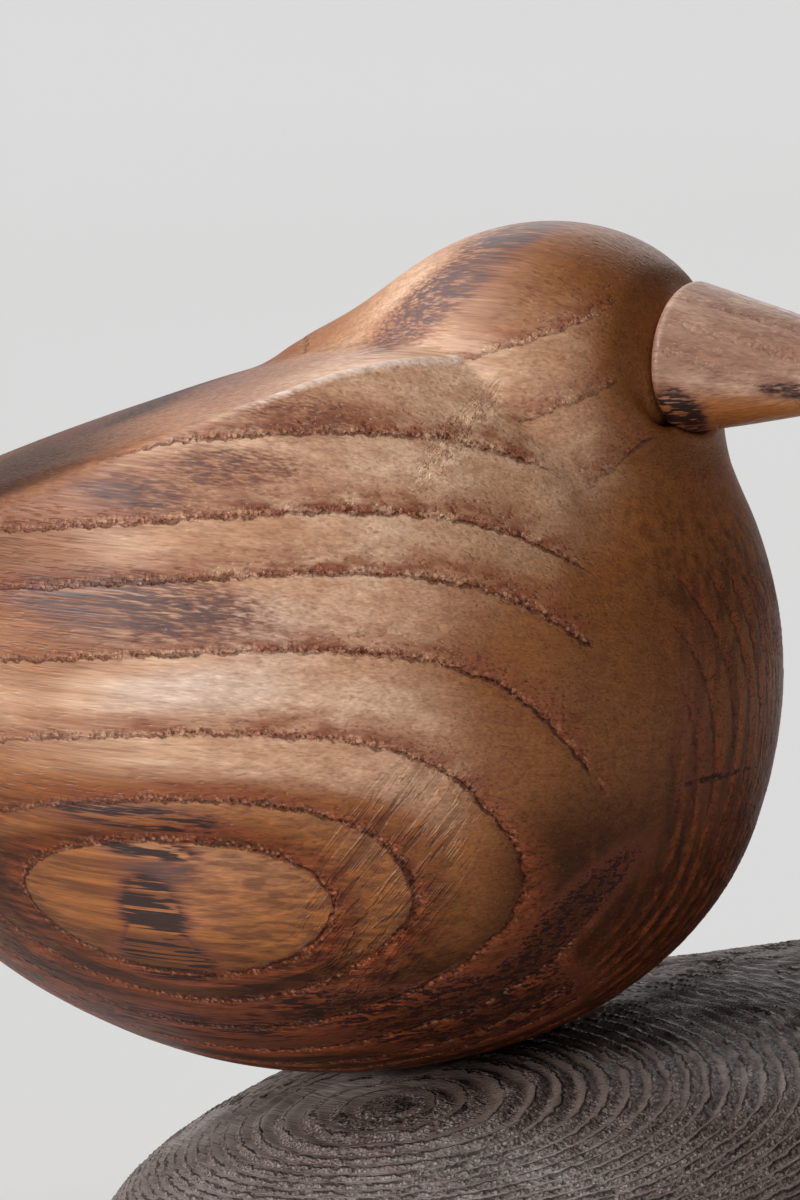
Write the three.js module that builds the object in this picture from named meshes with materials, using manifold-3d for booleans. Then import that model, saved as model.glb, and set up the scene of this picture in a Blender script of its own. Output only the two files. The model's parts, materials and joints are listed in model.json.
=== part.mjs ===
// A carved wooden bird resting on a wooden pebble. Millimetres, +Z up, beak towards +X.
// The origin is the middle of the pebble's flat foot, on the surface that the ornament stands on.
// The bird is carved from one block; its beak is turned apart and doweled on, and a loose pin
// between belly and pebble lets the bird turn and be lifted off.

import * as THREE from "three";
import { mergeVertices } from "three/addons/utils/BufferGeometryUtils.js";
import Module from "manifold-3d";

// Bird's body: four egg shapes. Their places are measured from the middle of the bird's datum.
const breast = { x: 7.9, z: 5.6, length: 39.3, width: 25.3, height: 41.1, pitch: -6.3 };
const head = { forward: 12.6, sink: 4.6, length: 18.4, width: 16, height: 13.8, pitch: 0 };
const wings = { back: 28.2, rise: 4.5, length: 64.7, width: 36.9, height: 53.7, pitch: -13.6 };
const tail = { back: 49.8, drop: 11.5, length: 44, width: 14.5, height: 11, pitch: 3 };
const neckBlend = 11;
const tailBlend = 25;
const wingCrease = 2.5;
const shoulderRound = 2.5;

// The back is one hollowed-out cut across the wings: its height falls towards the tail and the sides.
const backDrop = 4.3;
const backSlope = 0.272;
const backBend = 0.00143;
const backCrown = 0.0055;

// Beak, turned as a cone with a rounded rim, and the cove that is carved around its seat.
const beakRadius = 8.3;
const beakLength = 33;
const beakRim = 1.2;
const beakTip = 1.0;
const beakSeatDepth = 2.3;
const coveRadius = 2.4;

// Dowel that holds the beak.
const dowelRadius = 2.5;
const dowelInBeak = 11;
const dowelInHead = 14;

// Pin that the bird sits on, and the small flats that meet around it. The flats lie in a plane
// that rises by these slopes towards +X and +Y.
const perchSlopeX = 0.249;
const perchSlopeY = 0.202;
const pinRadius = 3;
const pinInBird = 26;
const pinInPebble = 20;
const pinChamfer = 0.6;
const birdFlatDepth = 0.6;
const pebbleFlatDepth = 0.25;
const flatCutter = 16;

// Pebble.
const pebbleLength = 78;
const pebbleWidth = 58;
const pebbleHeight = 25;
const pebbleYaw = 28.7;
const pebbleTilt = 9.9;
const footDepth = 7;

// Clearances.
const jointGap = 0.3;
const boreGap = 0.3;

// Fineness of the round forms.
const bodyAround = 56;
const bodyAlong = 48;
const breastFan = 0.42;
const tailFan = 0.12;
const spineSetback = 14;
const spineTailShare = 0.7;
const spineTailDrop = 4;
const pebbleAround = 52;
const pebbleAlong = 30;
const roundSides = 32;

const wasm = await Module();
wasm.setup();

const rad = THREE.MathUtils.degToRad;
const X = new THREE.Vector3(1, 0, 0);
const Y = new THREE.Vector3(0, 1, 0);
const Z = new THREE.Vector3(0, 0, 1);

// --- The bird's form as a function: negative inside, zero on the surface ---------------------

const breastTop = breast.z + breast.height;
const headX = breast.x + head.forward;
const headZ = breastTop - head.sink;
const wingX = breast.x - wings.back;
const wingZ = breast.z + wings.rise;
const tailX = wingX - tail.back;
const tailZ = wingZ - tail.drop;

// An egg standing at x, z on the bird's middle plane; a positive pitch lifts its front end.
function egg(p, x, z, form) {
  const c = Math.cos(rad(form.pitch));
  const s = Math.sin(rad(form.pitch));
  const dx = p.x - x;
  const dz = p.z - z;
  const u = (dx * c + dz * s) / form.length;
  const v = p.y / form.width;
  const w = (dz * c - dx * s) / form.height;
  const reach = Math.hypot(u, v, w);
  const slope = Math.hypot(u / form.length, v / form.width, w / form.height);
  return reach < 1e-9 ? -form.height : (reach * (reach - 1)) / slope;
}

function join(a, b, blend) {
  const h = Math.max(blend - Math.abs(a - b), 0) / blend;
  return Math.min(a, b) - (h * h * blend) / 4;
}

function trim(a, b, blend) {
  return -join(-a, -b, blend);
}

function birdForm(p) {
  const front = join(egg(p, breast.x, breast.z, breast), egg(p, headX, headZ, head), neckBlend);
  const flank = join(egg(p, wingX, wingZ, wings), egg(p, tailX, tailZ, tail), tailBlend);
  const backTop = breastTop - backDrop + backSlope * p.x - backBend * p.x * p.x - backCrown * p.y * p.y;
  const rear = trim(flank, p.z - backTop, shoulderRound);
  return join(front, rear, wingCrease);
}

// Distance from start along a direction to the surface, found by halving.
function reachTo(form, start, direction, limit) {
  const p = new THREE.Vector3();
  let inside = 0;
  let outside = limit;
  for (let i = 0; i < 40; i++) {
    const middle = (inside + outside) / 2;
    p.copy(start).addScaledVector(direction, middle);
    if (form(p) < 0) inside = middle;
    else outside = middle;
  }
  return (inside + outside) / 2;
}

// --- Solids: only joined and cut ---------------------------------------------------------------

function solid(geometry) {
  const bare = geometry.clone();
  bare.deleteAttribute("normal");
  bare.deleteAttribute("uv");
  const merged = mergeVertices(bare, 1e-4);
  return new wasm.Manifold(
    new wasm.Mesh({
      numProp: 3,
      vertProperties: new Float32Array(merged.attributes.position.array),
      triVerts: new Uint32Array(merged.index.array),
    }),
  );
}

function geometryOf(manifold) {
  const mesh = manifold.getMesh();
  const geometry = new THREE.BufferGeometry();
  geometry.setAttribute("position", new THREE.BufferAttribute(mesh.vertProperties, 3));
  geometry.setIndex(new THREE.BufferAttribute(mesh.triVerts, 1));
  geometry.computeVertexNormals();
  return geometry;
}

// A turned form: [along, radius] pairs from the back end to the front end, spun about an axis
// that leaves `from` along `direction`.
function turned(profile, from, direction) {
  const points = profile.map(([along, radius]) => new THREE.Vector2(radius, along));
  const geometry = new THREE.LatheGeometry(points, roundSides);
  const turn = new THREE.Quaternion().setFromUnitVectors(Y, direction);
  geometry.applyQuaternion(turn);
  geometry.translate(from.x, from.y, from.z);
  return geometry;
}

function rod(radius, start, end, chamfer, from, direction) {
  const profile = [
    [start, 0],
    [start, radius - chamfer],
    [start + chamfer, radius],
    [end - chamfer, radius],
    [end, radius - chamfer],
    [end, 0],
  ];
  return turned(profile, from, direction);
}

function bore(radius, start, end, from, direction) {
  const profile = [
    [start, 0],
    [start, radius],
    [end, radius],
    [end, 0],
  ];
  return turned(profile, from, direction);
}

// --- Bird ----------------------------------------------------------------------------------------

// The skin is found from a spine: a fan of rays from the spine's front end, then rings of rays
// square to it on the way to the tail, then a small fan from its back end.
const spineFront = new THREE.Vector3(breast.x - spineSetback, 0, breast.z);
const spineBack = new THREE.Vector3(tailX - tail.length * spineTailShare, 0, tailZ - spineTailDrop);
const birdReach = wings.length + tail.length + breast.length;

function spineRay(sphereDirection) {
  const along = Math.acos(THREE.MathUtils.clamp(sphereDirection.x, -1, 1)) / Math.PI;
  const ringsEnd = 1 - tailFan;
  const slide = THREE.MathUtils.clamp((along - breastFan) / (ringsEnd - breastFan), 0, 1);
  let lean = Math.PI / 2;
  if (along < breastFan) lean = (along / breastFan) * (Math.PI / 2);
  if (along > ringsEnd) lean = (1 + (along - ringsEnd) / tailFan) * (Math.PI / 2);
  const around = Math.atan2(sphereDirection.z, sphereDirection.y);
  const side = Math.sin(lean);
  const direction = new THREE.Vector3(Math.cos(lean), side * Math.cos(around), side * Math.sin(around));
  return { start: spineFront.clone().lerp(spineBack, slide), direction };
}

function bodyBlank() {
  const geometry = new THREE.SphereGeometry(1, bodyAround, bodyAlong);
  geometry.rotateZ(-Math.PI / 2);
  const position = geometry.attributes.position;
  const p = new THREE.Vector3();
  for (let i = 0; i < position.count; i++) {
    const { start, direction } = spineRay(p.fromBufferAttribute(position, i).normalize());
    const distance = reachTo(birdForm, start, direction, birdReach);
    p.copy(start).addScaledVector(direction, distance);
    position.setXYZ(i, p.x, p.y, p.z);
  }
  return geometry;
}

const headFront = headX + head.length;
const beakSeat = new THREE.Vector3(headFront - beakSeatDepth, 0, headZ);

// The cove: a ring cut around the seat, deepest just outside the beak's rim.
function coveCutter() {
  const geometry = new THREE.TorusGeometry(beakRadius + coveRadius / 2, coveRadius, 16, roundSides);
  geometry.rotateY(Math.PI / 2);
  geometry.translate(beakSeat.x + coveRadius / 2, beakSeat.y, beakSeat.z);
  return geometry;
}

// The perch: where the belly comes lowest, measured square to the plane of the flats. The whole
// bird then stands on one side of that plane and the whole pebble on the other.
const perchUp = new THREE.Vector3(-perchSlopeX, -perchSlopeY, 1).normalize();

function bellyAt(x, y) {
  const start = new THREE.Vector3(x, y, breast.z);
  const drop = reachTo(birdForm, start, Z.clone().negate(), birdReach);
  return start.addScaledVector(Z, -drop);
}

function restingPoint(up) {
  let lowest = bellyAt(breast.x, 0);
  for (let step = breast.width / 2; step > 0.02; step /= 2) {
    let moved = true;
    while (moved) {
      moved = false;
      for (const [dx, dy] of [[step, 0], [-step, 0], [0, step], [0, -step]]) {
        const tried = bellyAt(lowest.x + dx, lowest.y + dy);
        if (tried.dot(up) < lowest.dot(up) - 1e-9) {
          lowest = tried;
          moved = true;
        }
      }
    }
  }
  return lowest;
}

const birdFlat = restingPoint(perchUp).addScaledVector(perchUp, birdFlatDepth);

function bodyGeometry() {
  const seatCutter = bore(beakRadius, 0, beakLength, beakSeat, X);
  const dowelBore = bore(dowelRadius + boreGap, -dowelInHead - jointGap, jointGap, beakSeat, X);
  const pinBore = bore(pinRadius + boreGap, -flatCutter, pinInBird + jointGap, birdFlat, perchUp);
  const flat = bore(flatCutter, -flatCutter, 0, birdFlat, perchUp);
  const body = solid(bodyBlank())
    .subtract(solid(seatCutter))
    .subtract(solid(coveCutter()))
    .subtract(solid(dowelBore))
    .subtract(solid(flat))
    .subtract(solid(pinBore));
  return geometryOf(body);
}

const beakBack = beakSeat.clone().addScaledVector(X, jointGap);

// A cone with a rounded rim at the back and a blunt rounded tip.
function beakGeometry() {
  const slope = Math.atan2(beakRadius - beakTip, beakLength - beakTip);
  const profile = [[0, 0]];
  const rimSteps = 5;
  for (let i = 0; i <= rimSteps; i++) {
    const turn = (i / rimSteps) * (Math.PI / 2 + slope);
    profile.push([beakRim * (1 - Math.cos(turn)), beakRadius - beakRim * (1 - Math.sin(turn))]);
  }
  const tipSteps = 6;
  for (let i = 0; i <= tipSteps; i++) {
    const turn = (Math.PI / 2 - slope) * (1 - i / tipSteps);
    profile.push([beakLength - beakTip * (1 - Math.cos(turn)), beakTip * Math.sin(turn)]);
  }
  profile[profile.length - 1][1] = 0;
  const beakBore = bore(dowelRadius + boreGap, -jointGap, dowelInBeak + jointGap, beakBack, X);
  return geometryOf(solid(turned(profile, beakBack, X)).subtract(solid(beakBore)));
}

function dowelGeometry() {
  return rod(dowelRadius, -dowelInHead, jointGap + dowelInBeak, pinChamfer, beakSeat, X);
}

// --- Pin and pebble ------------------------------------------------------------------------------

const pebbleFlat = birdFlat.clone().addScaledVector(perchUp, -jointGap);
const pebblePerch = pebbleFlat.clone().addScaledVector(perchUp, pebbleFlatDepth);

// The pebble is turned about the upright first, then tilted so that the end under the beak is high.
const pebbleTurn = new THREE.Quaternion()
  .setFromAxisAngle(Y, -rad(pebbleTilt))
  .multiply(new THREE.Quaternion().setFromAxisAngle(Z, rad(pebbleYaw)));

// The point of the pebble, from its own middle, whose surface faces a given way.
function pebblePoint(facing) {
  const n = facing.clone().applyQuaternion(pebbleTurn.clone().invert());
  const a = new THREE.Vector3(n.x * pebbleLength, n.y * pebbleWidth, n.z * pebbleHeight);
  const scale = 1 / a.length();
  a.multiply(new THREE.Vector3(pebbleLength, pebbleWidth, pebbleHeight)).multiplyScalar(scale);
  return a.applyQuaternion(pebbleTurn);
}

const pebbleMiddle = pebblePerch.clone().sub(pebblePoint(perchUp));
const pebbleLowest = pebbleMiddle.clone().add(pebblePoint(Z.clone().negate()));

// The foot is cut level, a little above the lowest point. The cut's middle lies on the line from
// there to the pebble's middle.
const footShare = footDepth / (pebbleMiddle.z - pebbleLowest.z);
const foot = pebbleLowest.clone().lerp(pebbleMiddle, footShare);

function pebbleGeometry() {
  const blank = new THREE.SphereGeometry(1, pebbleAround, pebbleAlong);
  blank.rotateX(Math.PI / 2);
  blank.scale(pebbleLength, pebbleWidth, pebbleHeight);
  blank.applyQuaternion(pebbleTurn);
  blank.translate(pebbleMiddle.x, pebbleMiddle.y, pebbleMiddle.z);
  const under = new THREE.BoxGeometry(4 * pebbleLength, 4 * pebbleLength, 2 * pebbleHeight);
  under.translate(foot.x, foot.y, foot.z - pebbleHeight);
  const flat = bore(flatCutter, 0, flatCutter, pebbleFlat, perchUp);
  const pinBore = bore(pinRadius + boreGap, -pinInPebble - jointGap, flatCutter, pebbleFlat, perchUp);
  return geometryOf(
    solid(blank).subtract(solid(under)).subtract(solid(flat)).subtract(solid(pinBore)),
  );
}

function pinGeometry() {
  return rod(pinRadius, -pinInPebble, jointGap + pinInBird, pinChamfer, pebbleFlat, perchUp);
}

// --- Assembly ------------------------------------------------------------------------------------

const finishes = {
  carvedPine: { color: 0xa87549, roughness: 0.45, metalness: 0 },
  turnedPine: { color: 0xa9764f, roughness: 0.45, metalness: 0 },
  greyPine: { color: 0x6a5e5a, roughness: 0.7, metalness: 0 },
  beech: { color: 0xcfa878, roughness: 0.6, metalness: 0 },
  brass: { color: 0xb59a5b, roughness: 0.35, metalness: 1 },
};

function piece(name, geometry, finish) {
  const mesh = new THREE.Mesh(geometry, new THREE.MeshStandardMaterial(finishes[finish]));
  mesh.name = name;
  return mesh;
}

const bird = new THREE.Group();
bird.add(piece("bird_body", bodyGeometry(), "carvedPine"));
bird.add(piece("beak", beakGeometry(), "turnedPine"));
bird.add(piece("beak_dowel", dowelGeometry(), "beech"));

const stand = new THREE.Group();
stand.add(piece("pebble_stand", pebbleGeometry(), "greyPine"));
stand.add(piece("perch_pin", pinGeometry(), "brass"));

const ornament = new THREE.Group();
ornament.add(bird, stand);
ornament.position.copy(foot).negate();

export default ornament;
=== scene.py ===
"""A carved wooden bird on a wooden pebble: the looks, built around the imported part.

Sizes are in millimetres in the bird's own frame, whose datum is the middle of the breast line,
and are turned to metres in the part's frame as each mesh is made.
"""

import json
import logging
import math
from dataclasses import dataclass
from enum import Enum
from typing import Callable

import bpy
import numpy as np
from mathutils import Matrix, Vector


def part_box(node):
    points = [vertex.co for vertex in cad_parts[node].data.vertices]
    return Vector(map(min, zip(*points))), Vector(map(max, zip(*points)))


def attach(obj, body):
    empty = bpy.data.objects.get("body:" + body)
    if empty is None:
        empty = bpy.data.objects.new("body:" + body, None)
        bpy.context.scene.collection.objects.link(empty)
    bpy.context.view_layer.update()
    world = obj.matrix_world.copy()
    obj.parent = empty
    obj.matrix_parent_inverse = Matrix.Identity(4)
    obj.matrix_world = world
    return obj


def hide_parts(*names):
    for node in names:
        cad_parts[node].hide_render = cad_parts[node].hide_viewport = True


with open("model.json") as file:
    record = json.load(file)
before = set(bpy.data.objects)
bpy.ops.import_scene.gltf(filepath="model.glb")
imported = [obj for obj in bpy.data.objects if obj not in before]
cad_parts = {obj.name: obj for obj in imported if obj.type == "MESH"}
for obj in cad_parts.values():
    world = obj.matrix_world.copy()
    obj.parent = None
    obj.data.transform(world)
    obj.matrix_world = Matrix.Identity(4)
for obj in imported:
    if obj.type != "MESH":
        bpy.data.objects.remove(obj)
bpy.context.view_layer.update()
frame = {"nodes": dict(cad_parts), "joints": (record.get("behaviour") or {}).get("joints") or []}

log = logging.getLogger("ornament")
MM = 0.001
HALVINGS = 22
Array = np.ndarray
Colour = tuple[float, float, float, float]
Profile = list[tuple[float, float]]


class Note(Enum):
    """The numbers that each vertex carries for the finish to read."""

    RING = "ring"  # years past the outermost ring line
    GAP = "ring_gap"  # years crossed by 1 mm of surface
    CRISP = "crisp"  # how crisp the ring lines are
    TEAR = "tear"  # where the rasp tore the grain
    BREAST = "breast"  # where dark and golden streaks run down the breast
    BELLY = "belly"  # where brown and golden rows run under the wings
    SCORCH = "scorch"  # how burnt the marks are
    SMOKE = "smoke"  # where a mark's heart is grey instead of black: char with a painted sheen
    TOAST = "toast"  # how brown the flame left the wood, with painted shade where the light falls away and, below 0, painted highlights


# --- Shared shape mathematics --------------------------------------------------------------------


def join(a: Array, b: Array, blend: float) -> Array:
    """Two forms become one, with a fillet of about the blend's size between them."""
    h = np.maximum(blend - np.abs(a - b), 0) / blend
    return np.minimum(a, b) - h * h * blend / 4


def trim(a: Array, b: Array, blend: float) -> Array:
    """What two forms share, with the edge between them rounded."""
    return -join(-a, -b, blend)


def smooth(x: Array, low: float, high: float) -> Array:
    """Rises from 0 at low to 1 at high, with soft ends."""
    t = np.clip((x - low) / (high - low), 0, 1)
    return t * t * (3 - 2 * t)


def mottle(points: Array, cell: Array | float, seed: int) -> Array:
    """Soft lattice noise.

    Args:
        points: places in mm, one per row.
        cell: the size of a blotch in mm, one number or one per axis.
        seed: picks one pattern.

    Returns:
        One value from 0 to 1 for each place.
    """
    p = points / np.asarray(cell, float) + 1000.0
    base = np.floor(p).astype(np.int64)
    f = p - base
    f = f * f * (3 - 2 * f)
    total = np.zeros(len(points))
    for corner in range(8):
        step = np.array([corner & 1, corner >> 1 & 1, corner >> 2 & 1])
        c = base + step
        h = (c[:, 0] * 73856093) ^ (c[:, 1] * 19349663) ^ (c[:, 2] * 83492791) ^ (seed * 2654435)
        h = (h ^ (h >> 13)) * 1274126177 & 0x7FFFFFFF
        value = (h ^ (h >> 16)) % 65536 / 65535
        weight = np.prod(np.where(step == 1, f, 1 - f), axis=1)
        total += value * weight
    return total


def gradient(form: Callable[[Array], Array], points: Array, step: float = 0.05) -> Array:
    """The slope of a form at each place, by central differences.

    Args:
        form: the form.
        points: the places.
        step: how far to look to each side, in mm.

    Returns:
        One slope for each place.
    """
    sides = []
    for axis in np.eye(3):
        sides.append((form(points + axis * step) - form(points - axis * step)) / (2 * step))
    return np.stack(sides, 1)


@dataclass(frozen=True)
class Egg:
    """An egg-shaped volume on the bird's middle plane; a positive pitch lifts its front end."""

    x: float
    z: float
    length: float
    width: float
    height: float
    pitch: float = 0

    def __call__(self, points: Array) -> Array:
        """Roughly the distance from each place to the surface, negative inside.

        Args:
            points: places in mm in the bird's frame, one per row.

        Returns:
            One number for each place.
        """
        c, s = math.cos(math.radians(self.pitch)), math.sin(math.radians(self.pitch))
        dx, dz = points[:, 0] - self.x, points[:, 2] - self.z
        local = np.stack([dx * c + dz * s, points[:, 1], dz * c - dx * s], 1)
        radii = np.array([self.length, self.width, self.height])
        reach = np.linalg.norm(local / radii, axis=1)
        slope = np.linalg.norm(local / radii**2, axis=1)
        return reach * (reach - 1) / np.maximum(slope, 1e-9)


@dataclass(frozen=True)
class Axis:
    """A line in space: a start and a direction of length one."""

    start: Array
    along: Array

    def split(self, points: Array) -> tuple[Array, Array]:
        """How far each place is along the line and away from it.

        Args:
            points: places in mm, one per row.

        Returns:
            The two distances in mm.
        """
        rel = points - self.start
        along = rel @ self.along
        return along, np.linalg.norm(rel - np.outer(along, self.along), axis=1)


# --- Meshes ----------------------------------------------------------------------------------------


def new_mesh(name: str, vertices: Array, faces: list[tuple[int, ...]]) -> bpy.types.Object:
    """A mesh object from vertices in metres in the part's frame.

    Args:
        name: the piece's name.
        vertices: places in metres.
        faces: the vertices of each face.

    Returns:
        The mesh object.
    """
    mesh = bpy.data.meshes.new(name)
    mesh.from_pydata(vertices.tolist(), [], faces)
    mesh.update()
    mesh.shade_smooth()
    piece = bpy.data.objects.new(name, mesh)
    bpy.context.scene.collection.objects.link(piece)
    return piece


def tube_faces(rings: int, around: int) -> list[tuple[int, ...]]:
    """Faces of a closed tube whose first and last vertices are its two poles.

    Args:
        rings: how many rings lie between the poles.
        around: how many vertices a ring has.

    Returns:
        The vertices of each face.
    """
    faces = []
    for j in range(around):
        k = (j + 1) % around
        faces.append((0, 1 + k, 1 + j))
        last = 1 + (rings - 1) * around
        faces.append((last + around, last + j, last + k))
    for i in range(rings - 1):
        row = 1 + i * around
        for j in range(around):
            k = (j + 1) % around
            faces.append((row + j, row + k, row + around + k, row + around + j))
    return faces


def meet(form: Callable[[Array], Array], starts: Array, ways: Array, reach: float) -> Array:
    """Where rays leave a form, found by halving.

    Args:
        form: negative inside.
        starts: where the rays start, inside the form, or one start for all.
        ways: their directions.
        reach: a length in mm that takes every ray outside.

    Returns:
        A point of the surface for each ray.
    """
    near, far = np.zeros(len(ways)), np.full(len(ways), reach)
    for _ in range(HALVINGS):
        middle = (near + far) / 2
        inside = form(starts + ways * middle[:, None]) < 0
        near, far = np.where(inside, middle, near), np.where(inside, far, middle)
    return starts + ways * ((near + far) / 2)[:, None]


def normals_of(form: Callable[[Array], Array], points: Array) -> Array:
    """The outward direction of a form at each place, of length one."""
    slope = gradient(form, points)
    return slope / np.linalg.norm(slope, axis=1)[:, None]


def vertices_of(piece: bpy.types.Object) -> Array:
    """A piece's vertices, one per row.

    Args:
        piece: the mesh object.

    Returns:
        Places in metres, one per row.
    """
    flat = np.empty(len(piece.data.vertices) * 3)
    piece.data.vertices.foreach_get("co", flat)
    return flat.reshape(-1, 3)


def set_vertices(piece: bpy.types.Object, vertices: Array) -> None:
    """Moves a piece's vertices."""
    piece.data.vertices.foreach_set("co", np.ascontiguousarray(vertices, dtype=np.float32).ravel())
    piece.data.update()


def take_notes(piece: bpy.types.Object, notes: dict[Note, Array]) -> None:
    """Writes numbers per vertex for the finish to read; one that isn't written reads as 0.

    Args:
        piece: the mesh object.
        notes: the values of each note, one per vertex.
    """
    for note, values in notes.items():
        layer = piece.data.attributes.new(note.value, "FLOAT", "POINT")
        layer.data.foreach_set("value", np.ascontiguousarray(values, dtype=np.float32))


def cut(piece: bpy.types.Object, tool: bpy.types.Object) -> None:
    """Cuts a closed tool out of a piece and removes the tool.

    Args:
        piece: the mesh object that is cut.
        tool: the closed mesh that is taken away.
    """
    modifier = piece.modifiers.new("cut", "BOOLEAN")
    modifier.operation = "DIFFERENCE"
    modifier.solver = "MANIFOLD"
    modifier.object = tool
    bpy.context.view_layer.objects.active = piece
    bpy.ops.object.modifier_apply(modifier=modifier.name)
    piece.data.materials.clear()
    bpy.data.objects.remove(tool)


def turned(name: str, profile: Profile, axis: Axis, around: int) -> bpy.types.Object:
    """A solid of revolution.

    Args:
        name: the piece's name.
        profile: (along, radius) pairs in mm from one pole to the other.
        axis: the line that it is turned about, in mm in the part's frame.
        around: the number of sides.

    Returns:
        The mesh object.
    """
    side = np.cross(axis.along, [0, 0, 1.0] if abs(axis.along[2]) < 0.9 else [1.0, 0, 0])
    side /= np.linalg.norm(side)
    up = np.cross(axis.along, side)
    angle = np.linspace(0, 2 * math.pi, around, endpoint=False)
    wheel = np.outer(np.cos(angle), side) + np.outer(np.sin(angle), up)
    rows = [axis.start + axis.along * profile[0][0]]
    for along, radius in profile[1:-1]:
        rows.extend(axis.start + axis.along * along + wheel * radius)
    rows.append(axis.start + axis.along * profile[-1][0])
    return new_mesh(name, np.array(rows) * MM, tube_faces(len(profile) - 2, around))


# --- Finishes ----------------------------------------------------------------------------------------


def linear(hex_colour: str) -> Colour:
    """Turns an sRGB hex colour to linear RGBA."""
    parts = [int(hex_colour[i : i + 2], 16) / 255 for i in (1, 3, 5)]
    return (*[p / 12.92 if p <= 0.04045 else ((p + 0.055) / 1.055) ** 2.4 for p in parts], 1.0)


class Kind(Enum):
    """The kinds of node in the finishes: a type, its input sockets in order, its output, its settings."""

    PLACE = ("TexCoord", (), "Object", {})
    NOTED = ("Attribute", (), "Fac", {})
    MAPPING = ("Mapping", ("Vector", "Rotation", "Scale"), "Vector", {})
    NOISE = ("TexNoise", ("Vector", "Scale", "Detail"), "Fac", {})
    CELLS = ("TexVoronoi", ("Vector", "Scale"), "Distance", {})
    RANGE = ("MapRange", (0, 1, 2, 3, 4), "Result", {"interpolation_type": "SMOOTHSTEP"})
    TIMES = ("Math", (0, 1), "Value", {"operation": "MULTIPLY"})
    PLUS = ("Math", (0, 1), "Value", {"operation": "ADD"})
    LESS = ("Math", (0, 1), "Value", {"operation": "SUBTRACT"})
    SHARE = ("Math", (0, 1), "Value", {"operation": "DIVIDE"})
    NEAREST = ("Math", (0,), "Value", {"operation": "ROUND"})
    SIZE = ("Math", (0,), "Value", {"operation": "ABSOLUTE"})
    MOST = ("Math", (0, 1), "Value", {"operation": "MAXIMUM"})
    LEAST = ("Math", (0, 1), "Value", {"operation": "MINIMUM"})
    COAT = ("Mix", (0, 6, 7), 2, {"data_type": "RGBA", "blend_type": "MIX"})
    TINT = ("Mix", (0, 6, 7), 2, {"data_type": "RGBA", "blend_type": "MULTIPLY"})
    BUMP = ("Bump", ("Height", "Distance", "Strength"), "Normal", {})
    SURFACE = (
        "BsdfPrincipled",
        ("Base Color", "Roughness", "Normal", "Specular IOR Level", "Metallic", "IOR"),
        "BSDF",
        {},
    )


class Shader:
    """A material's node tree, built one node at a time."""

    def __init__(self, name: str) -> None:
        """Starts with an empty tree.

        Args:
            name: the material's name.
        """
        self.material = bpy.data.materials.new(name)
        self.material.use_nodes = True
        self.tree = self.material.node_tree
        self.tree.nodes.clear()
        self.place = self.add(Kind.PLACE)

    def add(self, kind: Kind, *inputs: object, **settings: object) -> bpy.types.NodeSocket:
        """Adds a node with its settings and links.

        Args:
            kind: the kind of node.
            inputs: a value or another node's output for each socket in turn; None leaves one alone.
            settings: the node's own properties, beyond those that its kind has.

        Returns:
            The node's output.
        """
        type_name, sockets, output, usual = kind.value
        node = self.tree.nodes.new("ShaderNode" + type_name)
        for key, value in (usual | settings).items():
            setattr(node, key, value)
        for socket, value in zip(sockets, inputs):
            if isinstance(value, bpy.types.NodeSocket):
                self.tree.links.new(value, node.inputs[socket])
            elif value is not None:
                node.inputs[socket].default_value = value
        return node.outputs[output]

    def grain(self, along: float, across: float, detail: float = 2, lean: float = 0) -> bpy.types.NodeSocket:
        """Streaks drawn out along the wood's length.

        Args:
            along: the length of a streak in mm.
            across: its width in mm.
            detail: how many finer layers it has.
            lean: turns the streaks away from X about Y, in degrees.

        Returns:
            Noise from 0 to 1.
        """
        place = self.place
        if lean:
            place = self.add(Kind.MAPPING, place, (0, math.radians(lean), 0))
        place = self.add(Kind.MAPPING, place, None, (1 / (along * MM), 1 / (across * MM), 1 / (across * MM)))
        return self.add(Kind.NOISE, place, 1, detail)

    def spots(self, size: float, detail: float) -> bpy.types.NodeSocket:
        """Noise from 0 to 1 whose spots are alike in all directions, with their size in mm."""
        return self.add(Kind.NOISE, self.place, 1 / (size * MM), detail)

    def dressed(self, *inputs: object) -> bpy.types.Material:
        """Gives the material its surface, from the inputs of that kind of node.

        Returns:
            The material.
        """
        output = self.tree.nodes.new("ShaderNodeOutputMaterial")
        self.tree.links.new(self.add(Kind.SURFACE, *inputs), output.inputs["Surface"])
        return self.material


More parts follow.
